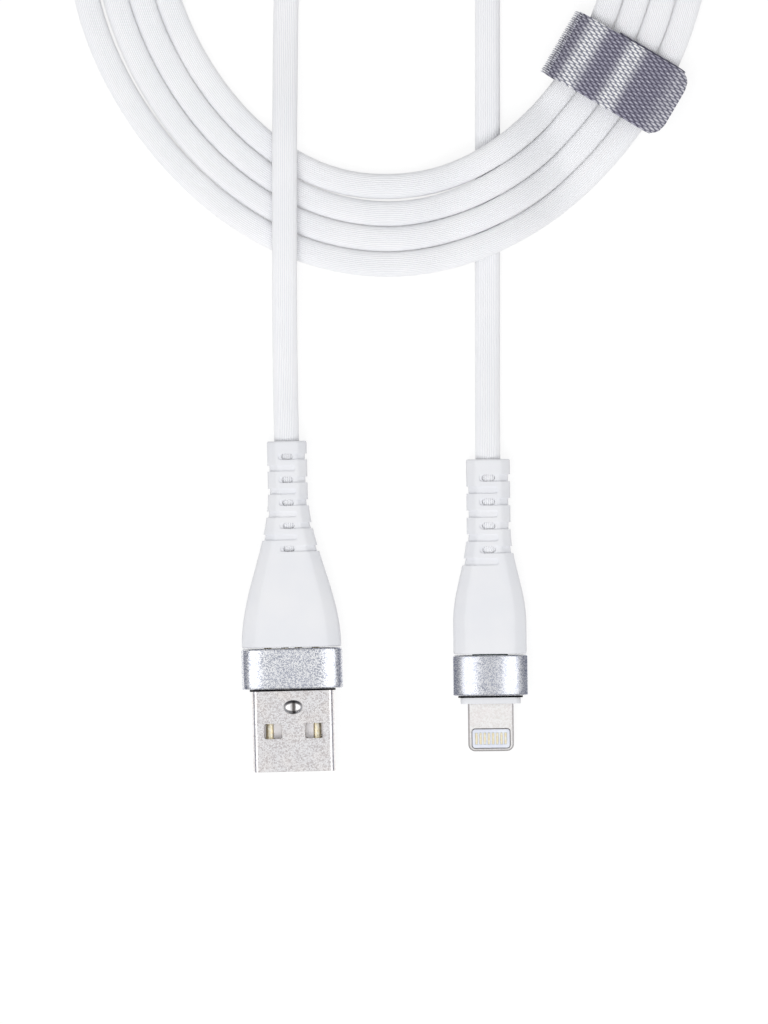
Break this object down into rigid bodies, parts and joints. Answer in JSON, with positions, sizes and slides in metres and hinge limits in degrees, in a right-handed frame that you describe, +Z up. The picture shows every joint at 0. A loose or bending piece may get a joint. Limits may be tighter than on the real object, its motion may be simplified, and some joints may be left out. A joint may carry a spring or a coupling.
{
  "type": "charging cable",
  "caption": "Charging cable with a wide computer plug and a slim phone plug on a ribbed cord, wound flat in a coil and held by a hook-and-loop strap.",
  "frame": {"origin": "middle of the flat underside of the wide plug's metal sleeve, which rests on the table", "axes": "+Z up from the table; +Y along both plugs from their tips to their boots and on to the coil; +X from the wide plug to the slim plug"},
  "size_m": [0.0945, 0.1591, 0.0075],
  "materials": {
    "white_jacket": "soft white elastomer with fine lengthwise ribs",
    "white_boot": "moulded white, satin",
    "satin_aluminium": "bead-blasted, satin",
    "nickel_steel": "nickel-plated rolled steel",
    "gold_plate": "gold-plated",
    "black_plastic": "matt black",
    "pale_insulator": "pale moulded insulator",
    "circuit_green": "green solder mask",
    "woven_silver": "silver-grey satin weave",
    "hook_plastic": "moulded hook tape",
    "wire_power": "insulated wire, red",
    "wire_data_minus": "insulated wire, white",
    "wire_data_plus": "insulated wire, green",
    "wire_ground": "insulated wire, black"
  },
  "bodies": {
    "cable": {"wide_plug_shell": "nickel_steel", "wide_plug_tongue": "pale_insulator", "wide_plug_contact_power": "gold_plate", "wide_plug_contact_data_minus": "gold_plate", "wide_plug_contact_data_plus": "gold_plate", "wide_plug_contact_ground": "gold_plate", "wide_plug_front_mould": "black_plastic", "wide_plug_sleeve": "satin_aluminium", "wide_plug_boot": "white_boot", "wide_plug_shield_can": "nickel_steel", "wide_plug_ferrule": "nickel_steel", "wide_plug_jacket_end": "white_jacket", "wide_plug_wire_power": "wire_power", "wide_plug_wire_data_minus": "wire_data_minus", "wide_plug_wire_data_plus": "wire_data_plus", "wide_plug_wire_ground": "wire_ground", "slim_plug_tab_frame": "nickel_steel", "slim_plug_contact_block": "pale_insulator", "slim_plug_pad_top_1": "gold_plate", "slim_plug_pad_top_2": "gold_plate", "slim_plug_pad_top_3": "gold_plate", "slim_plug_pad_top_4": "gold_plate", "slim_plug_pad_top_5": "gold_plate", "slim_plug_pad_top_6": "gold_plate", "slim_plug_pad_top_7": "gold_plate", "slim_plug_pad_top_8": "gold_plate", "slim_plug_pad_bottom_1": "gold_plate", "slim_plug_pad_bottom_2": "gold_plate", "slim_plug_pad_bottom_3": "gold_plate", "slim_plug_pad_bottom_4": "gold_plate", "slim_plug_pad_bottom_5": "gold_plate", "slim_plug_pad_bottom_6": "gold_plate", "slim_plug_pad_bottom_7": "gold_plate", "slim_plug_pad_bottom_8": "gold_plate", "slim_plug_collar": "white_boot", "slim_plug_front_ring": "black_plastic", "slim_plug_board": "circuit_green", "slim_plug_chip": "black_plastic", "slim_plug_sleeve": "satin_aluminium", "slim_plug_boot": "white_boot", "slim_plug_shield_can": "nickel_steel", "slim_plug_ferrule": "nickel_steel", "slim_plug_jacket_end": "white_jacket", "slim_plug_wire_power": "wire_power", "slim_plug_wire_data_minus": "wire_data_minus", "slim_plug_wire_data_plus": "wire_data_plus", "slim_plug_wire_ground": "wire_ground", "cord_wide_stretch": "white_jacket", "cord_coil": "white_jacket", "cord_slim_stretch": "white_jacket"},
    "strap": {"strap_band": "woven_silver"},
    "tongue": {"strap_tongue": "woven_silver", "strap_hook_pad": "hook_plastic"}
  },
  "joints": [
    {"name": "strap_slide", "type": "hinge", "parent": "cable", "child": "strap", "pos_m": [0.00317, 0.11271, 0], "axis": [0, 0, 1], "range_deg": [0, 10]},
    {"name": "tongue_peel", "type": "hinge", "parent": "strap", "child": "tongue", "pos_m": [0.04246, 0.08986, 0.00684], "axis": [-0.5046, -0.8634, 0], "range_deg": [0, 110]}
  ]
}
